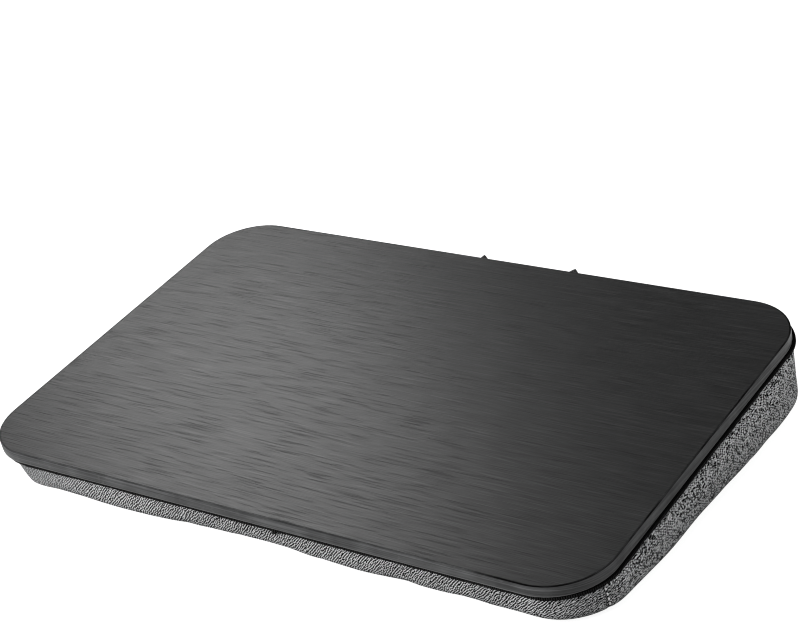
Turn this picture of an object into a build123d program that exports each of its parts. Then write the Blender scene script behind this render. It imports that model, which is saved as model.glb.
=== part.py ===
from build123d import *
import math
import os

# Lap tray with cushion: a thin rigid tray board carried by a wedge-shaped
# stuffed cushion. Millimetres. +X runs along the long front edge, +Y to the
# back, +Z up. The cushion's flat underside lies on z = 0 and the origin is at
# the bottom centre of the whole object.

# ---------------------------------------------------------------- dimensions
tilt = 4.585  # degrees, slope of the tray towards the user
board_w = 475.6
board_d = 300.6
board_t = 7.8
corner_r = 40.0
centre_h = 32.2  # height of the board's underside above the ground, mid depth
board_x = -1.2  # the board's centre, puts the origin mid width
board_y = -15.318  # and mid depth

edge_band_t = 0.8
edge_round = 0.5
laminate_t = 0.6
groove = 0.3  # fine V groove between the top laminate and the edge band
backing_t = 0.4

strip_l, strip_w, strip_t = 80.0, 20.0, 0.6  # hook and loop strips
strip_dx, strip_dy = 300.0, 220.0
top_panel_t = 1.0
piping_r = 1.7
piping_inset = 1.9  # piping's centreline, in from the cover's outline
piping_drop = 1.9  # and below the board's underside

cover_t = 1.6  # quilted cover fabric
seam_drop = 3.7  # top edge of the gusset, below the board's underside
shift_x, shift_y = 1.2, 1.8  # the cushion sits this far right and back
bulge = 3.5
corner_seam_y = 26.0  # vertical gusset seams, behind the front edge
back_seam_x = 165.0  # vertical gusset seams on the back

zip_z = 13.5
zip_slot = 10.0
tape_t = 0.8
tooth_pitch = 2.0
tooth_count = 144
tooth_h = 1.4
slider_x = -138.0
slider_l = 11.0
slider_travel = 272.0

strap_w = 22.0
strap_t = 2.0
strap_x = 46.0
strap_reach = 25.0
strap_turn_r = 16.0
strap_droop = 43.0
tab_t = 1.6
tab_in = 14.0
hinge_out = 3.5
tab_out = hinge_out - 0.9
hinge_drop = seam_drop + tab_t / 2

os.makedirs("parts", exist_ok=True)

# -------------------------------------------------------------------- planes
st, ct = math.sin(math.radians(tilt)), math.cos(math.radians(tilt))
board_plane = Plane(
    origin=(board_x, board_y, centre_h), x_dir=(1, 0, 0), z_dir=(0, -st, ct)
)
plan_d = board_d * ct  # depth of the board seen from above
cushion_x = board_x + shift_x
cushion_y = board_y + shift_y


def board_point(x, y, z):
    """A point given in the board's own directions, in the main frame."""
    return board_plane.from_local_coords(Vector(x, y, z))


def cover_plane(z):
    """Parallel to the board, z above its underside, centred on the cover."""
    return Plane(
        origin=board_point(shift_x, shift_y, z),
        x_dir=(1, 0, 0),
        z_dir=board_plane.z_dir,
    )


# --------------------------------------------------------------------- board
with BuildPart() as bottom_backing:
    with BuildSketch(board_plane):
        RectangleRounded(
            board_w - 2 * edge_band_t,
            board_d - 2 * edge_band_t,
            corner_r - edge_band_t,
        )
    extrude(amount=backing_t)
bottom_backing.part.label = "bottom_backing"

with BuildPart() as board_core:
    with BuildSketch(board_plane.offset(backing_t)):
        RectangleRounded(
            board_w - 2 * edge_band_t,
            board_d - 2 * edge_band_t,
            corner_r - edge_band_t,
        )
    extrude(amount=board_t - backing_t - laminate_t)
board_core.part.label = "board_core"

board_normal = Axis(board_plane.origin, board_plane.z_dir)

with BuildPart() as top_laminate:
    with BuildSketch(board_plane.offset(board_t - laminate_t)):
        RectangleRounded(
            board_w - 2 * edge_band_t,
            board_d - 2 * edge_band_t,
            corner_r - edge_band_t,
        )
    extrude(amount=laminate_t)
    chamfer(top_laminate.faces().sort_by(board_normal)[-1].edges(), groove)
top_laminate.part.label = "top_laminate"

with BuildPart() as edge_band:
    with BuildSketch(board_plane):
        RectangleRounded(board_w, board_d, corner_r)
        RectangleRounded(
            board_w - 2 * edge_band_t,
            board_d - 2 * edge_band_t,
            corner_r - edge_band_t,
            mode=Mode.SUBTRACT,
        )
    extrude(amount=board_t)
    fillet(
        edge_band.faces().sort_by(board_normal)[-1].outer_wire().edges(), edge_round
    )
    fillet(edge_band.faces().sort_by(board_normal)[0].outer_wire().edges(), 0.3)
edge_band.part.label = "edge_band"

# ------------------------------------------- hook and loop strips, top panel
with BuildPart() as hook_strips:
    with BuildSketch(board_plane.offset(-strip_t)):
        with GridLocations(strip_dx, strip_dy, 2, 2):
            RectangleRounded(strip_l, strip_w, 2.0)
    extrude(amount=strip_t)
hook_strips.part.label = "hook_strips"

with BuildPart() as loop_strips:
    with BuildSketch(board_plane.offset(-2 * strip_t)):
        with GridLocations(strip_dx, strip_dy, 2, 2):
            RectangleRounded(strip_l, strip_w, 2.0)
    extrude(amount=strip_t)
loop_strips.part.label = "loop_strips"

panel_inset = piping_inset + piping_r + 0.2
with BuildPart() as top_panel:
    with BuildSketch(cover_plane(-2 * strip_t - top_panel_t)):
        RectangleRounded(
            board_w - 2 * panel_inset, board_d - 2 * panel_inset, corner_r - panel_inset
        )
    extrude(amount=top_panel_t)
top_panel.part.label = "top_panel"

with BuildSketch(cover_plane(-piping_drop)) as piping_line:
    RectangleRounded(
        board_w - 2 * piping_inset, board_d - 2 * piping_inset, corner_r - piping_inset
    )
piping_path = piping_line.sketch.faces()[0].outer_wire()
with BuildPart() as piping:
    with BuildSketch(Plane(origin=piping_path @ 0, z_dir=piping_path % 0)):
        Circle(piping_r)
    sweep(path=piping_path)
piping.part.label = "piping"


# ------------------------------------------------------------------- cushion
def rim(plane, slope, grow):
    """One level outline of the cushion on a plane sloping like the board."""
    c = math.cos(math.radians(slope))
    with BuildSketch(plane) as s:
        RectangleRounded(
            board_w + 2 * grow, (plan_d + 2 * grow) / c, corner_r + grow
        )
    return s.sketch


def wedge(inset, lift, drop):
    """The cushion's crowned wedge, inset all round, its floor raised by lift
    and its top lowered by drop below the gusset's top edge."""
    half = tilt / 2
    mid = Plane(
        origin=(cushion_x, cushion_y, 15.6),
        x_dir=(1, 0, 0),
        z_dir=(0, -math.sin(math.radians(half)), math.cos(math.radians(half))),
    )
    flat = Plane(origin=(cushion_x, cushion_y, 0), z_dir=(0, 0, 1))
    with BuildPart() as body:
        with BuildSketch(flat.offset(lift)):
            add(rim(Plane.XY, 0, -6.5 - inset))
        with BuildSketch(flat.offset(2.2 + lift * 0.5)):
            add(rim(Plane.XY, 0, -2.0 - inset))
        with BuildSketch(flat.offset(6.0)):
            add(rim(Plane.XY, 0, bulge - inset))
        with BuildSketch(mid):
            add(rim(Plane.XY, half, bulge - inset))
        with BuildSketch(cover_plane(-seam_drop - drop)):
            add(rim(Plane.XY, tilt, -1.2 - inset))
        loft(ruled=True)
    return body.part


outer = wedge(0, 0, 0)
cavity = wedge(cover_t, cover_t, 0)
bag_outer = wedge(cover_t + 0.4, cover_t + 0.4, 2.0)
bag_inner = wedge(cover_t + 1.2, cover_t + 1.2, 2.8)

back_wall = cushion_y + plan_d / 2 + bulge  # outer face of the back gusset
big = 700.0
seam_z = 3.0

with BuildPart() as bottom_panel:
    add(outer)
    add(cavity, mode=Mode.SUBTRACT)
    with Locations((0, 0, seam_z / 2)):
        Box(big, big, seam_z, mode=Mode.INTERSECT)
bottom_panel.part.label = "bottom_panel"

# everything of the cover above the bottom seam, with the slots that the
# carrying strap's ends pass through
with BuildPart() as gusset_ring:
    add(outer)
    add(cavity, mode=Mode.SUBTRACT)
    with Locations((0, 0, seam_z + 50)):
        Box(big, big, 100, mode=Mode.INTERSECT)
    with BuildSketch(cover_plane(-seam_drop - tab_t - 0.1)):
        with Locations((-strap_x, board_d / 2 - 6), (strap_x, board_d / 2 - 6)):
            Rectangle(strap_w + 0.8, 40)
    extrude(amount=tab_t + 0.4, mode=Mode.SUBTRACT)

front_y = cushion_y - plan_d / 2
with BuildPart() as gusset_front:
    add(gusset_ring.part)
    with Locations((0, front_y + corner_seam_y - 100, 50)):
        Box(big, 200, 200, mode=Mode.INTERSECT)
gusset_front.part.label = "gusset_front"

side_names = ("gusset_left", "gusset_right")
with BuildPart() as gusset_left:
    add(gusset_ring.part)
    with Locations((-back_seam_x - 150, front_y + corner_seam_y + 200, 50)):
        Box(300, 400, 200, mode=Mode.INTERSECT)
gusset_left.part.label = "gusset_left"

with BuildPart() as gusset_right:
    add(gusset_ring.part)
    with Locations((back_seam_x + 150, front_y + corner_seam_y + 200, 50)):
        Box(300, 400, 200, mode=Mode.INTERSECT)
gusset_right.part.label = "gusset_right"

slot_top = zip_z + zip_slot / 2
slot_low = zip_z - zip_slot / 2
with BuildPart() as gusset_back_upper:
    add(gusset_ring.part)
    with Locations((0, back_wall - 10, slot_top + 50)):
        Box(2 * back_seam_x, 60, 100, mode=Mode.INTERSECT)
gusset_back_upper.part.label = "gusset_back_upper"

with BuildPart() as gusset_back_lower:
    add(gusset_ring.part)
    with Locations((0, back_wall - 10, slot_low - 50)):
        Box(2 * back_seam_x, 60, 100, mode=Mode.INTERSECT)
gusset_back_lower.part.label = "gusset_back_lower"

with BuildPart() as inner_bag:
    add(bag_outer)
    add(bag_inner, mode=Mode.SUBTRACT)
inner_bag.part.label = "inner_bag"

with BuildPart() as bead_filling:
    add(bag_inner)
bead_filling.part.label = "bead_filling"

# ------------------------------------------------------------ zip, back side
tape_back = back_wall - cover_t
tape_face = tape_back + tape_t
tape_gap = 0.6
tape_h = zip_slot / 2 - tape_gap

with BuildPart() as zip_tape_upper:
    with BuildSketch(Plane.XZ.offset(-tape_back)):
        with Locations((0, zip_z + tape_gap + tape_h / 2)):
            Rectangle(2 * back_seam_x, tape_h)
    extrude(amount=-tape_t)
zip_tape_upper.part.label = "zip_tape_upper"

with BuildPart() as zip_tape_lower:
    with BuildSketch(Plane.XZ.offset(-tape_back)):
        with Locations((0, zip_z - tape_gap - tape_h / 2)):
            Rectangle(2 * back_seam_x, tape_h)
    extrude(amount=-tape_t)
zip_tape_lower.part.label = "zip_tape_lower"

teeth_l = tooth_count * tooth_pitch
with BuildPart() as zip_teeth_upper:
    with BuildSketch(Plane.XZ.offset(-tape_face)):
        with Locations((0, zip_z + 1.5)):
            Rectangle(teeth_l, 1.2)
        with Locations((-tooth_pitch / 4, zip_z + 0.35)):
            with GridLocations(tooth_pitch, 1, tooth_count, 1):
                Rectangle(0.85, 1.5)
    extrude(amount=-tooth_h)
zip_teeth_upper.part.label = "zip_teeth_upper"

with BuildPart() as zip_teeth_lower:
    with BuildSketch(Plane.XZ.offset(-tape_face)):
        with Locations((0, zip_z - 1.5)):
            Rectangle(teeth_l, 1.2)
        with Locations((tooth_pitch / 4, zip_z - 0.35)):
            with GridLocations(tooth_pitch, 1, tooth_count, 1):
                Rectangle(0.85, 1.5)
    extrude(amount=-tooth_h)
zip_teeth_lower.part.label = "zip_teeth_lower"

with BuildPart() as zip_stops:
    with BuildSketch(Plane.XZ.offset(-tape_face)):
        with Locations((-teeth_l / 2 - 1.6, zip_z), (teeth_l / 2 + 1.6, zip_z)):
            Rectangle(2.6, 4.6)
    extrude(amount=-1.7)
    fillet(zip_stops.edges().filter_by(Axis.Y), 0.5)
zip_stops.part.label = "zip_stops"

with BuildPart() as zip_end_patches:
    with BuildSketch(Plane.XZ.offset(-tape_face)):
        with Locations(
            (-back_seam_x + 7.5, zip_z),
            (back_seam_x - 7.5, zip_z),
        ):
            Rectangle(15.0, zip_slot)
    extrude(amount=-0.8)
zip_end_patches.part.label = "zip_end_patches"

# slider: a channel that straddles the closed teeth, with a crown for the pull
plate_low = tape_face + tooth_h + 0.3
plate_top = plate_low + 1.2
crown_gap = 1.6
crown_t = 1.0
with BuildPart() as zip_slider:
    with BuildSketch(Plane.YZ.offset(slider_x - slider_l / 2)):
        with Locations(((plate_low + plate_top) / 2, zip_z)):
            Rectangle(plate_top - plate_low, 8.0)
        flange_low = tape_face + 0.3
        with Locations(
            ((flange_low + plate_top) / 2, zip_z - 3.3),
            ((flange_low + plate_top) / 2, zip_z + 3.3),
        ):
            Rectangle(plate_top - flange_low, 1.4)
    extrude(amount=slider_l)
    fillet(zip_slider.faces().sort_by(Axis.Y)[-1].edges(), 0.45)
    with BuildSketch(Plane.XY.offset(zip_z - 1.6)):
        with Locations((slider_x, plate_top + (crown_gap + crown_t) / 2 - 0.1)):
            Rectangle(8.0, crown_gap + crown_t + 0.2)
        with Locations((slider_x, plate_top + crown_gap / 2)):
            Rectangle(5.6, crown_gap, mode=Mode.SUBTRACT)
    extrude(amount=3.2)
zip_slider.part.label = "zip_slider"

pull_y = plate_top + crown_gap / 2
pull_t = 1.2
with BuildPart() as zip_pull:
    with BuildSketch(Plane.XY.offset(zip_z - 3.4)):
        with Locations((slider_x, pull_y)):
            Circle(pull_t / 2)
    extrude(amount=6.8)
    with BuildSketch(Plane.XZ.offset(-(pull_y - pull_t / 2))):
        with Locations((slider_x + 12.5, zip_z)):
            Rectangle(25.0, 6.8)
        with Locations((slider_x + 2.6, zip_z)):
            Rectangle(5.2 + 2.0, 4.2, mode=Mode.SUBTRACT)
        with Locations((slider_x + 20.5, zip_z)):
            RectangleRounded(5.0, 3.0, 1.4, mode=Mode.SUBTRACT)
    extrude(amount=-pull_t)
    fillet(
        zip_pull.edges().filter_by(Axis.Y).group_by(Axis.X)[-1],
        2.2,
    )
zip_pull.part.label = "zip_pull"

# ------------------------------------------------------------ carrying strap
back_edge = board_d / 2
with BuildPart() as strap_end_left:
    with BuildSketch(board_plane.offset(-seam_drop - tab_t)):
        with Locations((shift_x - strap_x, back_edge + (tab_out - tab_in) / 2)):
            Rectangle(strap_w, tab_out + tab_in)
    extrude(amount=tab_t)
strap_end_left.part.label = "strap_end_left"

with BuildPart() as strap_end_right:
    with BuildSketch(board_plane.offset(-seam_drop - tab_t)):
        with Locations((shift_x + strap_x, back_edge + (tab_out - tab_in) / 2)):
            Rectangle(strap_w, tab_out + tab_in)
    extrude(amount=tab_t)
strap_end_right.part.label = "strap_end_right"

hinge_point = board_point(shift_x, back_edge + hinge_out, -hinge_drop)
loop_angle = math.radians(tilt - strap_droop)
out_dir = Vector(0, math.cos(loop_angle), math.sin(loop_angle))
flat_dir = Vector(0, -math.sin(loop_angle), math.cos(loop_angle))
x_unit = Vector(1, 0, 0)
turn_x = strap_x - strap_turn_r
turn_y = strap_reach - strap_turn_r

with BuildPart() as carry_strap:
    # the webbing leaves the seam flat, then turns inwards and twists upright
    steps = [(0.8, None)] + [(turn_y, k * 15.0) for k in range(7)]
    for reach, turn in steps:
        a = math.radians(turn or 0.0)
        centre = (
            hinge_point
            + x_unit * (turn_x + strap_turn_r * math.cos(a))
            + out_dir * (reach + strap_turn_r * math.sin(a))
        )
        along = out_dir * math.cos(a) - x_unit * math.sin(a)
        across = x_unit * math.cos(a) + out_dir * math.sin(a)
        wide = across * math.cos(a) + flat_dir * math.sin(a)
        with BuildSketch(Plane(origin=centre, x_dir=wide, z_dir=along)):
            Rectangle(strap_w, strap_t)
    loft(ruled=True)
    mirror(about=Plane.YZ)
    grip_plane = Plane(
        origin=hinge_point + out_dir * strap_reach - x_unit * turn_x,
        x_dir=flat_dir,
        z_dir=(1, 0, 0),
    )
    with BuildSketch(grip_plane):
        Rectangle(strap_w, strap_t)
    extrude(amount=2 * turn_x)
carry_strap.part.label = "carry_strap"

# -------------------------------------------------------------------- export
pieces = [
    top_laminate,
    edge_band,
    board_core,
    bottom_backing,
    hook_strips,
    loop_strips,
    top_panel,
    piping,
    gusset_front,
    gusset_left,
    gusset_right,
    gusset_back_upper,
    gusset_back_lower,
    bottom_panel,
    inner_bag,
    bead_filling,
    zip_tape_upper,
    zip_tape_lower,
    zip_teeth_upper,
    zip_teeth_lower,
    zip_stops,
    zip_end_patches,
    zip_slider,
    zip_pull,
    strap_end_left,
    strap_end_right,
    carry_strap,
]
low = [1e9, 1e9, 1e9]
high = [-1e9, -1e9, -1e9]
for piece in pieces:
    export_step(piece.part, "parts/" + piece.part.label + ".step")
    box = piece.part.bounding_box()
    low = [min(a, b) for a, b in zip(low, (box.min.X, box.min.Y, box.min.Z))]
    high = [max(a, b) for a, b in zip(high, (box.max.X, box.max.Y, box.max.Z))]
    print(
        piece.part.label,
        len(piece.part.solids()),
        round(piece.part.volume, 1),
        [round(v, 2) for v in (box.min.X, box.min.Y, box.min.Z)],
        [round(v, 2) for v in (box.max.X, box.max.Y, box.max.Z)],
    )
print("bounds", [round(v, 3) for v in low], [round(v, 3) for v in high])
print("mid depth", round((low[1] + high[1]) / 2, 3))
print("hinge", [round(v, 3) for v in hinge_point])
print("pull axis", slider_x, round(pull_y, 3), zip_z)
print("back wall", round(back_wall, 3))
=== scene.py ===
import math
import random

import bmesh
import bpy
import numpy as np
from mathutils import Matrix, Vector
from mathutils.bvhtree import BVHTree


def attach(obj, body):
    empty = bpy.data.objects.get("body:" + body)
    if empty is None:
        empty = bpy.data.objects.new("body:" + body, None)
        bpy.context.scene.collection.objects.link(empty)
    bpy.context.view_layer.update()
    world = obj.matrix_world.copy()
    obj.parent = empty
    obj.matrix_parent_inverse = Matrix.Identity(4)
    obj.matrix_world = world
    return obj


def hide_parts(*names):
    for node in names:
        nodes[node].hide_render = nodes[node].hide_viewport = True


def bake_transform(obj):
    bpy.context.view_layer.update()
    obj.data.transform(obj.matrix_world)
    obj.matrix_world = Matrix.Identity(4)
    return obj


# Lap tray with cushion: the looks. Metres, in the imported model's frame.
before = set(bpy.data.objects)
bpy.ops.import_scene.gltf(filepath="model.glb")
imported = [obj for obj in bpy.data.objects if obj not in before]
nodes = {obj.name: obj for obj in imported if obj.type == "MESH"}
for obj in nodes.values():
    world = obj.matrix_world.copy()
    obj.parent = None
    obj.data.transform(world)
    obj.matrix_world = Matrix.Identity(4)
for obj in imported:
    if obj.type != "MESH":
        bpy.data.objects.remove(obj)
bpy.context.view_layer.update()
scene = bpy.context.scene
rng = random.Random(7)

# ------------------------------------------------------------ the CAD's facts
MM = 0.001
TILT = math.radians(4.585)
ST, CT = math.sin(TILT), math.cos(TILT)
BOARD = Vector((-0.0012, -0.015318, 0.0322))
HALF_W, HALF_D, CORNER = 0.2378, 0.1503, 0.040
THICK = 0.0078
SHIFT_X, SHIFT_Y = 0.0012, 0.0018
CX, CY = 0.0, -0.013518  # the cushion's middle
PLAN_D = HALF_D * CT
SEAM_DROP = 0.0042
BACK_WALL = 0.139801
ZIP_Z = 0.0135
HINGE = Vector((0.0, 0.13835, 0.040009))
DROOP = math.radians(4.585 - 43.0)


def board_point(x, y, z):
    """A point in the board's own directions (z above its underside)."""
    return BOARD + Vector((x, y * CT - z * ST, y * ST + z * CT))


def board_dir(x, y, z):
    return Vector((x, y * CT - z * ST, y * ST + z * CT))


def underside_z(y):
    """Height of the board's underside above the ground at depth y."""
    return BOARD.z + (y - BOARD.y) * ST / CT


# --------------------------------------------------------------------- camera
turn = Vector((2.098588352549433, 0.5086516688072097, -0.5636079206644652))
rot = Matrix.Rotation(turn.length, 3, turn.normalized())
shift = Vector((-0.09338535894437743, 0.12313304049159433, 1.283149751042607))
eye = -(rot.transposed() @ shift)
eye_row = board_point(eye.x, eye.y - 0.150, eye.z + THICK)
right = board_dir(*rot[0])
down = board_dir(*rot[1])
ahead = board_dir(*rot[2])
cam_data = bpy.data.cameras.new("camera")
cam = bpy.data.objects.new("camera", cam_data)
scene.collection.objects.link(cam)
cam.matrix_world = Matrix(
    (
        (right.x, -down.x, -ahead.x, eye_row.x),
        (right.y, -down.y, -ahead.y, eye_row.y),
        (right.z, -down.z, -ahead.z, eye_row.z),
        (0, 0, 0, 1),
    )
)
cam_data.sensor_width = 36.0
cam_data.lens = 2098.39 / 800 * 36
cam_data.clip_start, cam_data.clip_end = 0.05, 60
scene.camera = cam


# ---------------------------------------------------------- material helpers
class Graph:
    """A small builder for one Principled material."""

    def __init__(self, name):
        self.material = bpy.data.materials.new(name)
        self.material.use_nodes = True
        self.tree = self.material.node_tree
        self.tree.nodes.clear()
        self.out = self.tree.nodes.new("ShaderNodeOutputMaterial")
        self.bsdf = self.tree.nodes.new("ShaderNodeBsdfPrincipled")
        self.tree.links.new(self.bsdf.outputs[0], self.out.inputs[0])

    def put(self, socket, value):
        if isinstance(value, bpy.types.NodeSocket):
            self.tree.links.new(value, socket)
        else:
            socket.default_value = value

    def set(self, **values):
        names = {
            "color": "Base Color",
            "roughness": "Roughness",
            "metallic": "Metallic",
            "normal": "Normal",
            "specular": "Specular IOR Level",
            "sheen": "Sheen Weight",
            "sheen_roughness": "Sheen Roughness",
            "coat": "Coat Weight",
            "coat_roughness": "Coat Roughness",
        }
        for key, value in values.items():
            if key == "specular":
                self.bsdf.inputs[names[key]].default_value = 0.40
            self.put(self.bsdf.inputs[names[key]], value)

    def coords(self):
        return self.tree.nodes.new("ShaderNodeTexCoord").outputs["Object"]

    def uv(self, name):
        node = self.tree.nodes.new("ShaderNodeUVMap")
        node.uv_map = name
        return node.outputs[0]

    def math(self, op, a, b=0.0, c=0.0, clamp=False):
        node = self.tree.nodes.new("ShaderNodeMath")
        node.operation, node.use_clamp = op, clamp
        for socket, value in zip(node.inputs, (a, b, c)):
            self.put(socket, value)
        return node.outputs[0]

    def vmath(self, op, a, b=(0, 0, 0)):
        node = self.tree.nodes.new("ShaderNodeVectorMath")
        node.operation = op
        self.put(node.inputs[0], a)
        self.put(node.inputs[3 if op == "SCALE" else 1], b)
        return node.outputs[1 if op == "LENGTH" else 0]

    def split(self, vector):
        node = self.tree.nodes.new("ShaderNodeSeparateXYZ")
        self.put(node.inputs[0], vector)
        return node.outputs[0], node.outputs[1], node.outputs[2]

    def join(self, x, y, z=0.0):
        node = self.tree.nodes.new("ShaderNodeCombineXYZ")
        for socket, value in zip(node.inputs, (x, y, z)):
            self.put(socket, value)
        return node.outputs[0]

    def noise(self, vector, scale=1.0, detail=2.0, rough=0.5, distortion=0.0):
        node = self.tree.nodes.new("ShaderNodeTexNoise")
        self.put(node.inputs["Vector"], vector)
        node.inputs["Scale"].default_value = scale
        node.inputs["Detail"].default_value = detail
        node.inputs["Roughness"].default_value = rough
        node.inputs["Distortion"].default_value = distortion
        return node.outputs[0]

    def white(self, value, dims="1D"):
        node = self.tree.nodes.new("ShaderNodeTexWhiteNoise")
        node.noise_dimensions = dims
        self.put(node.inputs["W" if dims == "1D" else "Vector"], value)
        return node.outputs[0]

    def voronoi(self, vector, scale):
        node = self.tree.nodes.new("ShaderNodeTexVoronoi")
        self.put(node.inputs["Vector"], vector)
        node.inputs["Scale"].default_value = scale
        return node.outputs[0]

    def cells(self, vector, scale):
        """Two random values per irregular cell, and the cell's own X."""
        node = self.tree.nodes.new("ShaderNodeTexVoronoi")
        self.put(node.inputs["Vector"], vector)
        node.inputs["Scale"].default_value = scale
        first, second, third = self.split(node.outputs["Color"])
        return first, second, self.split(node.outputs["Position"])[0]

    def range(self, value, low, high, to_low=0.0, to_high=1.0, smooth=False):
        node = self.tree.nodes.new("ShaderNodeMapRange")
        node.clamp = True
        if smooth:
            node.interpolation_type = "SMOOTHSTEP"
        for socket, v in zip(node.inputs, (value, low, high, to_low, to_high)):
            self.put(socket, v)
        return node.outputs[0]

    def mix(self, factor, a, b):
        node = self.tree.nodes.new("ShaderNodeMix")
        node.data_type = "RGBA"
        self.put(node.inputs[0], factor)
        self.put(node.inputs[6], a)
        self.put(node.inputs[7], b)
        return node.outputs[2]

    def ramp(self, value, stops):
        node = self.tree.nodes.new("ShaderNodeValToRGB")
        self.put(node.inputs[0], value)
        ramp = node.color_ramp
        while len(ramp.elements) < len(stops):
            ramp.elements.new(0.5)
        for element, (position, colour) in zip(ramp.elements, stops):
            element.position, element.color = position, colour
        return node.outputs[0]

    def bump(self, height, distance, strength=1.0, normal=None):
        node = self.tree.nodes.new("ShaderNodeBump")
        node.inputs["Strength"].default_value = strength
        node.inputs["Distance"].default_value = distance
        self.put(node.inputs["Height"], height)
        if normal is not None:
            self.put(node.inputs["Normal"], normal)
        return node.outputs[0]


def grey(value, tint=0.0):
    return (value * (1 - tint), value, value * (1 + tint), 1.0)


def assign(obj, material):
    obj.data.materials.clear()
    obj.data.materials.append(material)


# ----------------------------------------------------------------- materials
def outline_distance(g, xyz, half_w, half_d, radius):
    """Signed distance to the board's rounded outline, in metres."""
    x, y, z = g.split(xyz)
    lx = g.math("ABSOLUTE", g.math("SUBTRACT", x, BOARD.x))
    ly = g.math(
        "ABSOLUTE",
        g.math(
            "ADD",
            g.math("MULTIPLY", g.math("SUBTRACT", y, BOARD.y), CT),
            g.math("MULTIPLY", g.math("SUBTRACT", z, BOARD.z), ST),
        ),
    )
    qx = g.math("SUBTRACT", lx, half_w - radius)
    qy = g.math("SUBTRACT", ly, half_d - radius)
    outside = g.vmath(
        "LENGTH", g.join(g.math("MAXIMUM", qx, 0.0), g.math("MAXIMUM", qy, 0.0))
    )
    inside = g.math("MINIMUM", g.math("MAXIMUM", qx, qy), 0.0)
    return g.math("SUBTRACT", g.math("ADD", outside, inside), radius)


def board_height(g, xyz):
    """Height above the board's underside, in metres."""
    x, y, z = g.split(xyz)
    return g.math(
        "SUBTRACT",
        g.math("MULTIPLY", g.math("SUBTRACT", z, BOARD.z), CT),
        g.math("MULTIPLY", g.math("SUBTRACT", y, BOARD.y), ST),
    )


def joint_depth(g, xyz):
    """How dark the line between top sheet and band is at this place, 0 to 1."""
    x, y, z = g.split(xyz)
    corner = g.vmath(
        "LENGTH",
        g.join(g.math("SUBTRACT", x, 0.215), g.math("MULTIPLY", g.math("ADD", y, 0.150), 0.8)),
    )
    near = g.math(
        "MAXIMUM",
        g.range(corner, 0.060, 0.030, 0.0, 1.0, True),
        g.range(x, 0.195, 0.232, 0.0, 0.85, True),
    )
    broken = g.range(g.noise(xyz, 32.0, 2.0, 0.6), 0.35, 0.65, -0.16, 0.16)
    return g.math(
        "ADD", g.math("MULTIPLY", near, 0.43), g.math("ADD", broken, 0.54), clamp=True
    )


def laminate():
    g = Graph("black_wood_grain")
    p = g.coords()
    wave = g.noise(g.vmath("MULTIPLY", p, (3.0, 9.0, 9.0)), 1.0, 2.0, 0.5)
    bend = g.join(0.0, g.math("MULTIPLY", g.math("SUBTRACT", wave, 0.5), 0.010), 0.0)
    q = g.vmath("ADD", p, bend)
    fine = g.noise(g.vmath("MULTIPLY", q, (34.0, 1250.0, 0.0)), 1.0, 2.0, 0.6)
    medium = g.noise(g.vmath("MULTIPLY", q, (11.0, 360.0, 0.0)), 1.0, 2.0, 0.55)
    broad = g.noise(g.vmath("MULTIPLY", q, (3.0, 46.0, 0.0)), 1.0, 2.0, 0.5)
    pores = g.noise(g.vmath("MULTIPLY", q, (27.0, 1000.0, 3.0)), 1.0, 1.5, 0.5)
    pore = g.range(pores, 0.56, 0.70, 0.0, 1.0, True)
    light = g.range(pores, 0.42, 0.30, 0.0, 1.0, True)
    tone = g.math(
        "ADD",
        g.math("MULTIPLY", fine, 0.46),
        g.math(
            "ADD", g.math("MULTIPLY", medium, 0.34), g.math("MULTIPLY", broad, 0.20)
        ),
    )
    base = g.ramp(
        tone,
        [
            (0.34, grey(0.0018, 0.02)),
            (0.46, grey(0.0044, 0.02)),
            (0.55, grey(0.0066, 0.02)),
            (0.68, grey(0.0150, 0.02)),
        ],
    )
    base = g.mix(g.math("MULTIPLY", pore, 0.45), base, grey(0.0010))
    base = g.mix(g.math("MULTIPLY", light, 0.55), base, grey(0.0200))
    edge = outline_distance(g, p, HALF_W, HALF_D, CORNER)
    joint = g.math(
        "MULTIPLY", g.range(edge, -0.00110, -0.00080, 0.0, 1.0, True), joint_depth(g, p)
    )
    base = g.mix(joint, base, grey(0.0012))
    rough = g.math("ADD", 0.26, g.math("MULTIPLY", tone, 0.15))
    rough = g.math("ADD", rough, g.math("MULTIPLY", pore, 0.05))
    rough = g.math("ADD", rough, g.math("MULTIPLY", joint, 0.35))
    gloss = g.math("ADD", 0.40, g.math("MULTIPLY", g.math("SUBTRACT", fine, 0.5), 0.34))
    gloss = g.math("SUBTRACT", gloss, g.math("MULTIPLY", pore, 0.09))
    gloss = g.math("ADD", gloss, g.math("MULTIPLY", light, 0.06))
    height = g.math(
        "SUBTRACT",
        g.math("ADD", g.math("MULTIPLY", fine, 0.6), g.math("MULTIPLY", medium, 0.6)),
        g.math("MULTIPLY", pore, 0.5),
    )
    g.set(
        color=base,
        roughness=rough,
        specular=g.math("SUBTRACT", gloss, g.math("MULTIPLY", joint, 0.28)),
        normal=g.bump(height, 0.00010, 0.6),
    )
    return g.material


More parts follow.
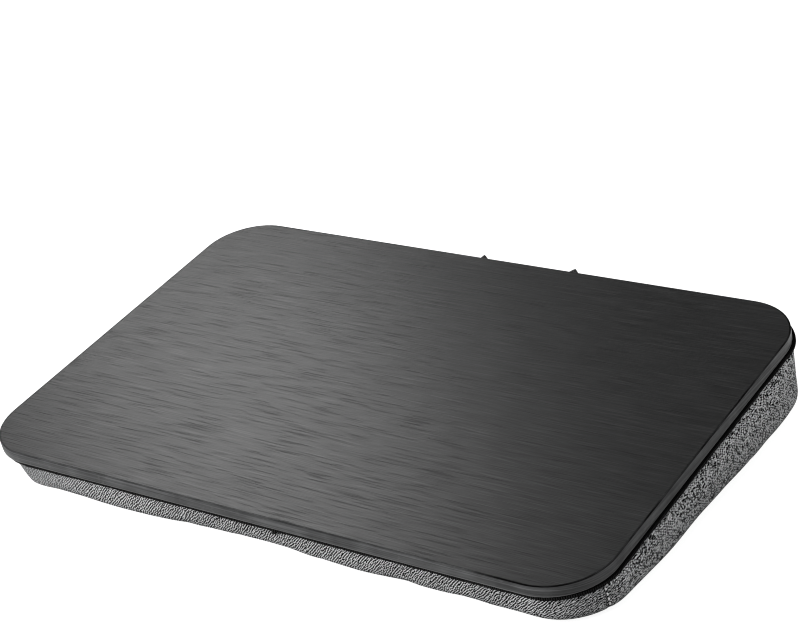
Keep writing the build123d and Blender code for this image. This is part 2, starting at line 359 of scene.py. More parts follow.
def band():
    g = Graph("edge_band_satin")
    p = g.coords()
    # fine drawn lines that run along the band
    edge = outline_distance(g, p, HALF_W, HALF_D, CORNER)
    x, y, z = g.split(p)
    along = g.noise(
        g.join(
            g.math("MULTIPLY", z, 900.0),
            g.math("MULTIPLY", edge, 900.0),
            g.math("MULTIPLY", g.math("ADD", x, y), 9.0),
        ),
        1.0,
        3.0,
        0.55,
    )
    cloud = g.noise(p, 55.0, 3.0, 0.55)
    tone = g.math("ADD", g.math("MULTIPLY", along, 0.7), g.math("MULTIPLY", cloud, 0.3))
    base = g.ramp(
        tone,
        [
            (0.36, grey(0.024, 0.015)),
            (0.50, grey(0.064, 0.015)),
            (0.64, grey(0.130, 0.015)),
        ],
    )
    high = board_height(g, p)
    wear = g.range(g.noise(p, 240.0, 2.0, 0.6), 0.60, 0.74, 0.0, 0.35, True)
    base = g.mix(wear, base, grey(0.13))
    # painted highlight: the band's rounded lower edge is paler, standing in for the light it catches
    lower_edge_highlight = g.range(high, 0.0009, 0.0003, 0.0, 0.7, True)
    base = g.mix(lower_edge_highlight, base, grey(0.16))
    # the dark glue line between the band and the top sheet
    joint = g.math(
        "MULTIPLY",
        g.range(high, THICK - 0.00075, THICK - 0.00030, 0.0, 1.0, True),
        joint_depth(g, p),
    )
    base = g.mix(joint, base, grey(0.0012))
    rough = g.math("ADD", 0.30, g.math("MULTIPLY", tone, 0.16))
    g.set(
        color=base,
        roughness=g.math("ADD", rough, g.math("MULTIPLY", joint, 0.4)),
        specular=g.math("SUBTRACT", 0.5, g.math("MULTIPLY", joint, 0.40)),
        normal=g.bump(along, 0.00006, 0.5),
    )
    return g.material


def fibreboard():
    g = Graph("fibreboard_core")
    p = g.coords()
    fibre = g.noise(g.vmath("MULTIPLY", p, (500.0, 500.0, 1700.0)), 1.0, 4.0, 0.65)
    cloud = g.noise(p, 60.0, 3.0, 0.5)
    tone = g.math("ADD", g.math("MULTIPLY", fibre, 0.7), g.math("MULTIPLY", cloud, 0.3))
    base = g.ramp(
        tone,
        [(0.3, (0.20, 0.125, 0.065, 1)), (0.5, (0.36, 0.25, 0.15, 1)), (0.7, (0.50, 0.38, 0.25, 1))],
    )
    g.set(color=base, roughness=0.85, normal=g.bump(fibre, 0.0002, 0.6))
    return g.material


def backing():
    g = Graph("backing_sheet")
    p = g.coords()
    grain = g.noise(p, 900.0, 3.0, 0.6)
    smear = g.noise(g.vmath("MULTIPLY", p, (8.0, 60.0, 8.0)), 1.0, 3.0, 0.5)
    tone = g.math("ADD", g.math("MULTIPLY", grain, 0.5), g.math("MULTIPLY", smear, 0.5))
    base = g.ramp(tone, [(0.35, grey(0.024)), (0.65, grey(0.055))])
    g.set(
        color=base,
        roughness=g.range(smear, 0.3, 0.7, 0.5, 0.68),
        normal=g.bump(grain, 0.00008, 0.5),
    )
    return g.material


def fuzzy(name, dark, light, cell):
    """Hook or loop tape: rows of small tufts."""
    g = Graph(name)
    p = g.coords()
    tuft = g.voronoi(p, cell)
    hair = g.noise(p, cell * 2.4, 3.0, 0.6, 0.6)
    tone = g.math("ADD", g.math("MULTIPLY", tuft, 0.6), g.math("MULTIPLY", hair, 0.5))
    base = g.ramp(tone, [(0.25, grey(dark)), (0.8, grey(light))])
    g.set(
        color=base,
        roughness=0.9,
        sheen=0.3,
        normal=g.bump(tone, 0.0004, 0.8),
    )
    return g.material


def heather():
    """Steep twill: pale stripes of weft between floats of black warp."""
    g = Graph("heather_twill")
    uv = g.vmath("SCALE", g.uv("weave"), 1000.0)
    u, v, w = g.split(uv)
    # the yarns wander a little, more on the sides than along the front
    far = g.noise(uv, 0.085, 2.0, 0.5)
    near = g.noise(uv, 0.36, 2.0, 0.5)
    loose = g.math(
        "MAXIMUM", g.range(u, 235.0, 165.0), g.range(u, 545.0, 600.0), clamp=True
    )
    # the left side's rear half passes from the back's look to the front left's
    whole = 4 * (HALF_W - CORNER + PLAN_D - CORNER) + 2 * math.pi * CORNER
    whole = whole * 1000.0
    late = g.range(u, whole - 185.0, whole - 5.0, 1.0, 0.0, True)
    wander = g.math("ADD", 0.22, g.math("MULTIPLY", loose, 0.35))
    near = g.math("MULTIPLY", g.math("SUBTRACT", near, 0.5), wander)
    uu = g.math(
        "ADD",
        u,
        g.math(
            "ADD",
            g.math(
                "MULTIPLY",
                g.math("SUBTRACT", far, 0.5),
                g.math("ADD", 1.2, g.math("MULTIPLY", loose, 0.6)),
            ),
            near,
        ),
    )
    vv = g.math("ADD", v, g.math("MULTIPLY", near, 0.8))
    wu = g.math("DIVIDE", uu, 0.472)
    wv = g.math("DIVIDE", vv, 0.585)
    i, j = g.math("FLOOR", wu), g.math("FLOOR", wv)
    fi, fj = g.math("FRACT", wu), g.math("FRACT", wv)
    # the twill's step jumps every fourteen millimetres or so
    block = g.math("FLOOR", g.math("DIVIDE", g.math("ADD", i, 400.0), 33.0))
    jump = g.math("MULTIPLY", g.white(block), 4.0)
    nudge = g.math("MULTIPLY", g.math("SUBTRACT", g.white(g.math("ADD", j, 0.61)), 0.5), 0.5)
    # small patches where the stripes turn: few in front, many on the sides
    turn, start, middle = g.cells(uv, 0.34)
    patchy = g.math("MULTIPLY", g.range(middle, 560.0, 640.0), 0.80)
    patchy = g.math(
        "MULTIPLY", patchy, g.range(middle, whole - 185.0, whole - 5.0, 1.0, 0.0)
    )
    patchy = g.math("ADD", 0.04, patchy)
    lean = g.math(
        "SUBTRACT", 1.0, g.math("MULTIPLY", patchy, g.math("MULTIPLY", turn, 2.0))
    )
    down = g.math(
        "SUBTRACT",
        1.38,
        g.math("MULTIPLY", g.math("MULTIPLY", lean, lean), 0.38),
    )
    # the twill lies flatter towards the front right corner
    flatter = g.math("MULTIPLY", g.range(u, 330.0, 560.0, 0.0, 0.12, True), late)
    down = g.math("MULTIPLY", down, g.math("ADD", 1.0, flatter))
    order = g.math(
        "ADD", g.math("MULTIPLY", wu, lean), g.math("MULTIPLY", wv, down)
    )
    order = g.math("MULTIPLY", order, g.math("ADD", 1.0, g.math("MULTIPLY", patchy, 0.06)))
    order = g.math("ADD", g.math("ADD", order, jump), 4000.0)
    order = g.math("ADD", order, nudge)
    order = g.math("ADD", order, g.math("MULTIPLY", g.math("MULTIPLY", start, patchy), 4.0))
    phase = g.math("FRACT", g.math("DIVIDE", order, 4.0))
    # a stripe is 0 at the edges of its dark part and 1 in the pale middle
    pale = g.range(
        g.math("ABSOLUTE", g.math("SUBTRACT", phase, 0.5)), 0.200, 0.165, 0.0, 1.0, True
    )
    # thread shading: each float is round across and dips at its ends
    warp_round = g.math("SINE", g.math("MULTIPLY", fi, math.pi))
    weft_round = g.math("SINE", g.math("MULTIPLY", fj, math.pi))
    rounded = g.math(
        "ADD",
        g.math("MULTIPLY", g.math("SUBTRACT", 1.0, pale), warp_round),
        g.math("MULTIPLY", pale, weft_round),
    )
    warp_tone = g.white(i)
    weft_tone = g.white(g.math("ADD", j, 0.37))
    slub = g.noise(
        g.join(g.math("MULTIPLY", uu, 0.16), g.math("MULTIPLY", vv, 1.2)),
        1.0,
        2.0,
        0.6,
    )
    slub2 = g.noise(
        g.join(g.math("MULTIPLY", uu, 1.9), g.math("MULTIPLY", vv, 0.22)),
        1.0,
        2.0,
        0.6,
    )
    speck = g.white(g.join(i, j, 3.0), "3D")
    light = g.math(
        "ADD",
        0.34,
        g.math(
            "ADD",
            g.math("MULTIPLY", weft_tone, 0.10),
            g.math(
                "ADD",
                g.math("MULTIPLY", g.range(slub, 0.35, 0.65), 0.18),
                g.math("MULTIPLY", speck, 0.14),
            ),
        ),
    )
    dark = g.math(
        "ADD",
        0.003,
        g.math(
            "ADD",
            g.math("MULTIPLY", warp_tone, 0.008),
            g.math(
                "ADD",
                g.math("MULTIPLY", g.range(slub2, 0.52, 0.80), 0.020),
                g.math("MULTIPLY", g.math("POWER", speck, 12.0), 0.12),
            ),
        ),
    )
    value = g.math(
        "ADD",
        g.math("MULTIPLY", g.math("SUBTRACT", 1.0, pale), dark),
        g.math("MULTIPLY", pale, light),
    )
    value = g.math(
        "MULTIPLY", value, g.math("ADD", 0.70, g.math("MULTIPLY", rounded, 0.42))
    )
    # short ends of pale and dark fibre, thicker on the sides than in front
    cell_u = g.math("FLOOR", g.math("DIVIDE", uu, 1.20))
    cell_v = g.math("FLOOR", g.math("DIVIDE", vv, 0.95))
    grit = g.white(g.join(cell_u, cell_v, 7.0), "3D")
    turned = g.math("GREATER_THAN", grit, 0.72)
    odd = g.math("FRACT", g.math("MULTIPLY", g.math("ADD", cell_u, cell_v), 0.5))
    up = g.math("ABSOLUTE", g.math("SUBTRACT", g.math("MULTIPLY", odd, 2.0), turned))
    fibre = g.math("ADD", 0.01, g.math("MULTIPLY", up, 0.46))
    share = g.math("MULTIPLY", g.range(u, 560.0, 640.0), late)
    share = g.math("ADD", 0.10, g.math("MULTIPLY", share, 0.50))
    value = g.math(
        "ADD",
        g.math("MULTIPLY", value, g.math("SUBTRACT", 1.0, share)),
        g.math("MULTIPLY", fibre, share),
    )
    # the sides catch the light along the yarns, so pale and dark stand further apart
    apart = g.math("MULTIPLY", g.range(u, 540.0, 625.0, 0.0, 1.05, True), late)
    apart = g.math("ADD", apart, 1.05)
    value = g.math("ADD", 0.21, g.math("MULTIPLY", g.math("SUBTRACT", value, 0.21), apart))
    value = g.math("MAXIMUM", value, 0.003)
    # painted shade: from the front right corner onwards, round the right side and the back, the fabric is
    # darker, standing in for the weaker light there
    right_side_shade = g.math("MULTIPLY", g.range(u, 610.0, 660.0, 0.0, 0.26, True), late)
    value = g.math("MULTIPLY", value, g.math("SUBTRACT", 1.0, right_side_shade))
    # painted light: towards the front left corner and along the rear of the left side the yarns blend
    # towards an even pale grey, with less contrast, where the left lamp falls
    left_pale_light = g.range(u, 250.0, 150.0, 0.0, 1.0, True)
    left_pale_light = g.math("MAXIMUM", left_pale_light, g.math("SUBTRACT", 1.0, late))
    left_pale_light = g.math("MULTIPLY", left_pale_light, 0.62)
    value = g.math(
        "ADD",
        g.math("MULTIPLY", value, g.math("SUBTRACT", 1.0, left_pale_light)),
        g.math("MULTIPLY", left_pale_light, 0.20),
    )
    # painted shade: the fabric darkens in a narrow band along the two front corner seams, standing in for
    # the shade in their creases
    slanted = g.math("ADD", 614.79, g.math("MULTIPLY", v, 0.11))
    for place in (124.12, slanted):
        seam_shade_gap = g.math("ABSOLUTE", g.math("SUBTRACT", u, place))
        value = g.math("MULTIPLY", value, g.range(seam_shade_gap, 0.70, 1.30, 0.45, 1.0, True))
    colour = g.join(
        g.math("MULTIPLY", value, 0.985),
        g.math("MULTIPLY", value, 1.0),
        g.math("MULTIPLY", value, 1.01),
    )
    relief = g.math(
        "ADD",
        g.math("MULTIPLY", rounded, 0.7),
        g.math("MULTIPLY", g.math("SUBTRACT", 1.0, pale), 0.25),
    )
    g.set(
        color=colour,
        roughness=0.95,
        specular=0.10,
        normal=g.bump(relief, 0.00022, 0.6),
    )
    return g.material


def lining():
    g = Graph("black_lining_weave")
    p = g.vmath("SCALE", g.coords(), 1000.0)
    x, y, z = g.split(p)
    a = g.math("SINE", g.math("MULTIPLY", x, 2 * math.pi / 0.8))
    b = g.math("SINE", g.math("MULTIPLY", y, 2 * math.pi / 0.8))
    weave = g.math("MULTIPLY", a, b)
    cloud = g.noise(p, 0.25, 3.0, 0.6)
    base = g.ramp(
        g.math("ADD", g.math("MULTIPLY", weave, 0.25), cloud),
        [(0.25, grey(0.008)), (0.8, grey(0.028))],
    )
    g.set(color=base, roughness=0.9, sheen=0.1, normal=g.bump(weave, 0.0002, 0.6))
    return g.material


def binding_yarn():
    g = Graph("overlock_thread")
    uv = g.uv("wrap")
    u, v, w = g.split(uv)
    rib = g.math("SINE", g.math("MULTIPLY", g.math("FRACT", u), math.pi))
    yarn = g.white(g.math("FLOOR", u))
    fuzz = g.noise(g.vmath("SCALE", g.coords(), 1000.0), 1.7, 3.0, 0.65)
    # painted highlight: each rib's crest is paler on the cord's lower outer side, varied per yarn,
    # standing in for the light the ribs catch
    top = g.range(rib, 0.45, 0.95, 0.0, 1.0, True)
    lit = g.math(
        "MULTIPLY",
        top,
        g.math("ADD", 0.35, g.math("ADD", g.math("MULTIPLY", yarn, 0.35), g.math("MULTIPLY", fuzz, 0.5))),
    )
    lower = g.range(v, 8.0, 9.5, 0.0, 1.0, True)
    lit = g.math("MULTIPLY", lit, g.math("ADD", 0.06, g.math("MULTIPLY", lower, 0.94)))
    base = g.mix(lit, grey(0.0006), grey(0.030))
    g.set(
        color=base,
        roughness=0.9,
        specular=0.05,
        normal=g.bump(fuzz, 0.00025, 0.6),
    )
    return g.material


def thread(name, value):
    g = Graph(name)
    p = g.vmath("SCALE", g.coords(), 1000.0)
    x, y, z = g.split(p)
    ply = g.math(
        "SINE",
        g.math("MULTIPLY", g.math("ADD", g.math("ADD", x, y), g.math("MULTIPLY", z, 1.4)), 14.0),
    )
    fuzz = g.noise(p, 5.0, 2.0, 0.6)
    base = g.ramp(
        g.math("ADD", g.math("MULTIPLY", ply, 0.2), fuzz),
        [(0.25, grey(value * 0.6)), (0.8, grey(min(value * 1.1, 0.9)))],
    )
    g.set(color=base, roughness=0.7, sheen=0.4, normal=g.bump(ply, 0.00006, 0.6))
    return g.material


def tape_weave():
    g = Graph("zip_tape_weave")
    p = g.vmath("SCALE", g.coords(), 1000.0)
    x, y, z = g.split(p)
    rib = g.math("SINE", g.math("MULTIPLY", z, 2 * math.pi / 0.55))
    pick = g.math("SINE", g.math("MULTIPLY", x, 2 * math.pi / 0.7))
    weave = g.math("MULTIPLY", rib, pick)
    cloud = g.noise(p, 0.5, 3.0, 0.6)
    base = g.ramp(
        g.math("ADD", g.math("MULTIPLY", weave, 0.3), cloud),
        [(0.25, grey(0.007)), (0.85, grey(0.036))],
    )
    g.set(color=base, roughness=0.82, sheen=0.15, normal=g.bump(weave, 0.00022, 0.7))
    return g.material


def teeth():
    g = Graph("zip_teeth_nylon")
    p = g.coords()
    cloud = g.noise(p, 700.0, 2.0, 0.5)
    rub = g.range(g.noise(p, 180.0, 3.0, 0.6), 0.5, 0.75, 0.0, 1.0, True)
    base = g.mix(rub, grey(0.014), grey(0.035))
    g.set(
        color=base,
        roughness=g.range(cloud, 0.3, 0.7, 0.28, 0.45),
        normal=g.bump(cloud, 0.00005, 0.5),
    )
    return g.material


def zip_metal():
    g = Graph("zip_metal_black")
    p = g.coords()
    cloud = g.noise(p, 420.0, 3.0, 0.6)
    scratch = g.noise(g.vmath("MULTIPLY", p, (260.0, 260.0, 2600.0)), 1.0, 3.0, 0.6)
    rub = g.range(g.math("ADD", g.math("MULTIPLY", cloud, 0.5), g.math("MULTIPLY", scratch, 0.5)), 0.56, 0.72, 0.0, 1.0, True)
    base = g.mix(rub, grey(0.035), grey(0.20))
    g.set(
        color=base,
        metallic=0.85,
        roughness=g.range(cloud, 0.3, 0.7, 0.26, 0.44),
        normal=g.bump(scratch, 0.00004, 0.5),
    )
    return g.material


def webbing():
    g = Graph("webbing_weave")
    uv = g.vmath("SCALE", g.uv("weave"), 1000.0)
    u, v, w = g.split(uv)
    wu = g.math("DIVIDE", u, 1.1)
    wv = g.math("DIVIDE", v, 0.75)
    i, j = g.math("FLOOR", wu), g.math("FLOOR", wv)
    fi, fj = g.math("FRACT", wu), g.math("FRACT", wv)
    over = g.math("LESS_THAN", g.math("MODULO", g.math("ADD", g.math("ADD", i, j), 4000.0), 2.0), 0.5)
    a = g.math("SINE", g.math("MULTIPLY", fi, math.pi))
    b = g.math("SINE", g.math("MULTIPLY", fj, math.pi))
    # painted shading: each float is paler at its crown and darker at its edges, and the floats on top are
    # paler still
    bead = g.math(
        "MULTIPLY", g.math("ADD", 0.45, g.math("MULTIPLY", over, 0.55)), g.math("MULTIPLY", a, b)
    )
    fuzz = g.noise(uv, 2.2, 3.0, 0.6)
    base = g.ramp(
        g.math("ADD", g.math("MULTIPLY", bead, 0.55), g.math("MULTIPLY", fuzz, 0.35)),
        [(0.12, grey(0.004)), (0.45, grey(0.022)), (0.9, grey(0.060))],
    )
    g.set(color=base, roughness=0.78, sheen=0.15, normal=g.bump(bead, 0.0004, 0.8))
    return g.material


M_LAMINATE, M_BAND, M_HEATHER = laminate(), band(), heather()
M_LINING, M_BINDING, M_WEBBING = lining(), binding_yarn(), webbing()
M_TAPE, M_TEETH, M_METAL = tape_weave(), teeth(), zip_metal()
M_WHITE, M_GREY = thread("pale_thread", 0.95), thread("grey_thread", 0.16)
M_BLACK = thread("black_thread", 0.03)
assign(nodes["top_laminate"], M_LAMINATE)
assign(nodes["edge_band"], M_BAND)
assign(nodes["board_core"], fibreboard())
assign(nodes["bottom_backing"], backing())
assign(nodes["hook_strips"], fuzzy("hook_tape", 0.006, 0.05, 900.0))
assign(nodes["loop_strips"], fuzzy("loop_tape", 0.008, 0.04, 520.0))
for name in ("zip_tape_upper", "zip_tape_lower"):
    assign(nodes[name], M_TAPE)
assign(nodes["zip_end_patches"], M_LINING)
for name in ("zip_teeth_upper", "zip_teeth_lower"):
    assign(nodes[name], M_TEETH)
for name in ("zip_stops", "zip_slider", "zip_pull"):
    assign(nodes[name], M_METAL)


# --------------------------------------------------------------- the outline
class Outline:
    """Stations round the cushion, anticlockwise from the middle of the left side."""

    def __init__(self):
        seam = (90 - math.degrees(math.asin((CORNER - 0.026) / CORNER))) / 90
        d = 1.4 * MM / (CORNER * math.pi / 2)
        seamed = np.concatenate(
            [np.linspace(0, seam - d, 9), [seam], np.linspace(seam + d, 1, 8)]
        )
        even = np.linspace(0, 1, 18)
        straight_x, straight_y = HALF_W - CORNER, PLAN_D - CORNER
        xs = np.concatenate(
            [
                np.linspace(straight_x, 0.1664, 7),
                [0.165],
                np.linspace(0.1636, -0.1636, 72),
                [-0.165],
                np.linspace(-0.1664, -straight_x, 7),
            ]
        ) / straight_x
        runs = [
            (0, np.linspace(0, -1, 27)[:-1]),  # left side, from its middle to the front
            (1, (1 - seamed[::-1])[:-1]),  # front left corner
            (2, np.linspace(-1, 1, 88)[:-1]),  # front
            (3, seamed[:-1]),
            (4, np.linspace(-1, 1, 53)[:-1]),  # right
            (5, even[:-1]),
            (6, xs[:-1]),  # back, from right to left
            (7, even[:-1]),
            (0, np.linspace(1, 0, 27)[:-1]),
        ]
        self.kind = np.concatenate([np.full(len(t), k) for k, t in runs])
        self.t = np.concatenate([t for k, t in runs])
        self.n = len(self.t)
        self.base = self.at(np.zeros(self.n))
        step = np.linalg.norm(np.roll(self.base, -1, 0) - self.base, axis=1)
        self.s = np.concatenate([[0], np.cumsum(step)])
        # p: 0 front left corner, 1 front, 2 front right corner, 3 right,
        # 4 back right corner, 5 back, 6 back left corner, 7 left
        marks = self.s[
            [
                self.near(-HALF_W, CY),
                self.near(-HALF_W + 0.012, CY - PLAN_D + 0.012),
                self.near(0, CY - PLAN_D),
                self.near(HALF_W - 0.012, CY - PLAN_D + 0.012),
                self.near(HALF_W, CY),
                self.near(HALF_W - 0.012, CY + PLAN_D - 0.012),
                self.near(0, CY + PLAN_D),
                self.near(-HALF_W + 0.012, CY + PLAN_D - 0.012),
            ]
        ]
        self.p = np.interp(
            self.s[:-1],
            list(marks) + [self.s[-1]],
            [-1, 0, 1, 2, 3, 4, 5, 6, 7],
        )

    def near(self, x, y):
        return int(
            np.argmin((self.base[:, 0] - x) ** 2 + (self.base[:, 1] - y) ** 2)
        )

    def at(self, out):
        """Plan positions with an offset (positive outwards) at every station."""
        a, b = HALF_W + out, PLAN_D + out
        r = np.maximum(CORNER + out, 0.003)
        x, y = np.zeros(self.n), np.zeros(self.n)
        k, t = self.kind, self.t
        sides = {
            0: lambda: (-a, t * (b - r)),
            2: lambda: (t * (a - r), -b),
            4: lambda: (a, t * (b - r)),
            6: lambda: (t * (a - r), b),
        }
        for kind, place in sides.items():
            px, py = place()
            x = np.where(k == kind, px, x)
            y = np.where(k == kind, py, y)
        for kind, sx, sy, start in (
            (1, -1, -1, 180),
            (3, 1, -1, 270),
            (5, 1, 1, 0),
            (7, -1, 1, 90),
        ):
            angle = np.radians(start + 90 * t)
            px = sx * (a - r) + r * np.cos(angle)
            py = sy * (b - r) + r * np.sin(angle)
            x = np.where(k == kind, px, x)
            y = np.where(k == kind, py, y)
        return np.stack([x + CX, y + CY], 1)

    def normals(self):
        return (self.at(np.full(self.n, 0.001)) - self.base) / 0.001

    def table(self, values):
        """Smooth values round the outline from {p: value}."""
        keys = sorted(values)
        xs = np.array([k for k in keys])
        ys = np.array([values[k] for k in keys])
        xs = np.concatenate([xs - 8, xs, xs + 8])
        ys = np.tile(ys, 3)
        p = self.p
        i = np.clip(np.searchsorted(xs, p, "right") - 1, 1, len(xs) - 3)
        h = xs[i + 1] - xs[i]
        u = (p - xs[i]) / h
        m0 = (ys[i + 1] - ys[i - 1]) / (xs[i + 1] - xs[i - 1]) * h
        m1 = (ys[i + 2] - ys[i]) / (xs[i + 2] - xs[i]) * h
        return (
            (2 * u**3 - 3 * u**2 + 1) * ys[i]
            + (u**3 - 2 * u**2 + u) * m0
            + (-2 * u**3 + 3 * u**2) * ys[i + 1]
            + (u**3 - u**2) * m1
        )


outline = Outline()
N = outline.n
NORMAL = outline.normals()

# ------------------------------------------------------- the cushion's shape
# millimetres: how far each place bulges past the seam's outline, how far its
# lower edge tucks in where it meets the ground, and how round that edge is
BULGE = {
    0: -4.8, 0.14: -2.3, 0.3: -0.6, 0.45: -0.1, 0.6: -0.4, 0.75: -1.3, 0.9: -2.2,
    1.05: -2.4, 1.2: -1.3, 1.35: -0.7, 1.5: -1.0, 1.65: -1.5, 1.8: -1.9, 2: -0.7,
    2.2: 1.8, 2.5: 4.0, 3: 5.2, 3.5: 4.6, 3.75: 2.3, 3.9: -1.3, 4: -1.6, 4.12: -0.7,
    4.3: 0.4, 4.7: 3.5, 5: 3.5, 5.5: 3.5, 6: 3.0, 6.5: 2.2, 7: 1.5, 7.4: -0.1,
    7.75: -3.6,
}
TUCK = {
    0: 9.2, 0.14: 3.2, 0.3: 4.4, 0.45: 5.0, 0.6: 7.3, 0.75: 9.4, 0.9: 11.3, 1.05: 11.8,
    1.2: 10.5, 1.35: 9.2, 1.5: 8.8, 1.65: 8.9, 1.8: 8.8, 2: 6.8, 2.2: 8.2, 2.5: 8.7,
    3: 9.8, 3.5: 7.5, 3.75: 6.3, 3.9: 7.8, 4: 8.6, 4.12: 8.9, 4.3: 8.9, 4.7: 9.5,
    5: 9.5, 5.5: 9.5, 6: 12.0, 6.5: 11.0, 7: 10.0, 7.4: 14.3, 7.75: 5.9,
}
ROUND = {0: 1.25, 0.14: 1.6, 0.4: 1.9, 1: 2.0, 2: 2.0, 3: 2.0, 4: 2.0, 5: 2.2, 6: 2.0, 7: 1.9, 7.75: 1.4}
LOW = {0: 0.85, 0.14: 0.6, 0.4: 0.45, 1: 0.45, 2: 0.4, 3: 0.32, 4: 0.2, 4.3: 0.151, 5: 0.151, 5.7: 0.151, 6: 0.25, 7: 0.4, 7.75: 0.7}
HIGH = {0: 0.92, 0.14: 0.75, 0.4: 0.6, 1: 0.58, 2: 0.55, 3: 0.52, 4: 0.53, 4.3: 0.56, 5: 0.56, 5.7: 0.56, 6: 0.55, 7: 0.6, 7.75: 0.85}
RIM = 0.0022
LEVELS = (
    np.array([39.7, 37.6, 34.4, 30.6, 26.6, 22.5, 18.5, 15.2, 11.8, 8.5, 6.0, 3.6, 1.7, 0.5, 0.0])
    / 39.7
)
UNDER = [0.03, 0.06, 0.10, 0.14, 0.19, 0.25, 0.33, 0.43, 0.55, 0.68, 0.84, 1.0]
OVER = [0.0045, 0.010, 0.020, 0.036, 0.060, 0.090, 0.120, 0.138]


def cushion_rings(swell):
    """Rings of points, from the middle of the top to the middle of the underside."""
    bulge = outline.table(BULGE) * MM - swell
    tuck = outline.table(TUCK) * MM
    power = outline.table(ROUND)
    low = outline.table(LOW)
    high = np.maximum(outline.table(HIGH), low + 0.02)
    rim_xy = outline.at(np.full(N, -RIM))
    drop = SEAM_DROP - 0.0010 * np.clip((NORMAL[:, 0] - 0.3) / 0.6, 0, 1)
    rim_z = underside_z(rim_xy[:, 1]) - drop / CT + 0.0002
    rings = []
    for inset in reversed(OVER):
        xy = outline.at(np.full(N, -inset))
        z = underside_z(xy[:, 1]) - 0.00165 / CT
        if inset < 0.006:
            z = z - 0.0006
        rings.append(np.column_stack([xy, z]))
    top_count = len(rings)
    for f in LEVELS:
        z = rim_z * f
        up = np.clip((f - high) / (1 - high), 0, 1)
        down = np.clip((low - f) / low, 0, 1)
        out = bulge - (bulge + RIM) * (1 - np.sqrt(np.maximum(1 - up**2.2, 0)))
        out = out - tuck * (1 - np.maximum(1 - down**power, 0) ** (1 / power))
        xy = outline.at(out)
        rings.append(np.column_stack([xy, z]))
    last = out
    side_count = len(LEVELS)
    for g in UNDER:
        xy = outline.at(last + (-0.138 - last) * g)
        rings.append(np.column_stack([xy, np.zeros(N)]))
    return rings, top_count, side_count


def lattice(rings, top_count, side_count):
    """Vertices, faces, per-corner coordinates for the weave, and materials."""
    verts = np.concatenate(rings)
    count = len(rings)
    girth = np.zeros((count, N))
    for k in range(1, count):
        girth[k] = girth[k - 1] + np.linalg.norm(rings[k] - rings[k - 1], axis=1)
    girth -= girth[top_count]
    s = outline.s
    faces, uvs, kinds = [], [], []
    for k in range(count - 1):
        side = top_count <= k < top_count + side_count - 2
        for i in range(N):
            j = (i + 1) % N
            quad = (k * N + i, (k + 1) * N + i, (k + 1) * N + j, k * N + j)
            faces.append(quad)
            if side:
                uvs.append(
                    (
                        (s[i], girth[k, i]),
                        (s[i], girth[k + 1, i]),
                        (s[i + 1], girth[k + 1, i]),
                        (s[i + 1], girth[k, i]),
                    )
                )
            else:
                uvs.append([(verts[q][0] + 1.0, verts[q][1]) for q in quad])
            kinds.append(1 if k < top_count else 0)
    half = N // 2
    for start, flip, kind in ((0, True, 1), ((count - 1) * N, False, 0)):
        for k in range(half):
            a, b = start + k, start + (k + 1)
            c, d = start + (N - k - 1) % N, start + (N - k) % N
            corners = []
            for q in (a, b, c, d):
                if q not in corners:
                    corners.append(q)
            if flip:
                corners.reverse()
            if len(corners) > 2:
                faces.append(tuple(reversed(corners)))
                uvs.append([(verts[q][0] + 1.0, verts[q][1]) for q in reversed(corners)])
                kinds.append(kind)
    return verts, faces, uvs, kinds


def mesh_object(name, verts, faces):
    mesh = bpy.data.meshes.new(name)
    mesh.from_pydata([tuple(v) for v in verts], [], faces)
    mesh.update()
    obj = bpy.data.objects.new(name, mesh)
    scene.collection.objects.link(obj)
    return obj


def fix_normals(obj):
    bm = bmesh.new()
    bm.from_mesh(obj.data)
    bmesh.ops.recalc_face_normals(bm, faces=bm.faces)
    bm.to_mesh(obj.data)
    bm.free()
    obj.data.update()


def inflate(obj, pins, cap, pressure):
    """Blender's Cloth pushes the cover out, with a limit on each point's way."""
    group = obj.vertex_groups.new(name="held")
    for value in sorted(set(np.round(pins, 2))):
        if value > 0:
            group.add([int(x) for x in np.nonzero(np.round(pins, 2) == value)[0]], float(value), "REPLACE")
    fix_normals(obj)
    cloth = obj.modifiers.new("cloth", "CLOTH")
    st = cloth.settings
    st.quality = 6
    st.mass = 0.25
    st.air_damping = 2.0
    st.tension_stiffness = st.compression_stiffness = 12.0
    st.shear_stiffness = 6.0
    st.bending_stiffness = 0.6
    st.use_pressure = True
    st.uniform_pressure_force = pressure
    st.shrink_min = -0.003
    st.vertex_group_mass = "held"
    st.effector_weights.gravity = 0.0
    cloth.collision_settings.use_collision = False
    cloth.point_cache.frame_start, cloth.point_cache.frame_end = 1, 20
    before = np.zeros(len(obj.data.vertices) * 3)
    obj.data.vertices.foreach_get("co", before)
    before = before.reshape(-1, 3)
    for f in range(1, 21):
        scene.frame_set(f)
    dg = bpy.context.evaluated_depsgraph_get()
    evaluated = obj.evaluated_get(dg)
    after = np.zeros(len(before) * 3)
    evaluated.data.vertices.foreach_get("co", after)
    after = after.reshape(-1, 3)
    obj.modifiers.remove(cloth)
    obj.vertex_groups.clear()
    scene.frame_set(1)
    moved = after - before
    moved[~np.isfinite(moved).all(1)] = 0
    # keep the folds and lose the slow drift round each ring: that is measured
    rings = moved.reshape(-1, N, 3)
    wave = np.fft.rfftfreq(N)[None, :, None]
    slow = np.fft.irfft(np.fft.rfft(rings, axis=1) * np.exp(-((wave * 60) ** 2)), N, axis=1)
    print("cloth drift", float(np.abs(slow).max()), float(np.abs(rings - slow).max()))
    moved = (rings - slow).reshape(-1, 3)
    length = np.linalg.norm(moved, axis=1, keepdims=True)
    moved *= np.minimum(1.0, cap / np.maximum(length, 1e-9))
    print("cloth moved", float(length.max()), float(np.median(length[length > 1e-6])))
    return before, moved


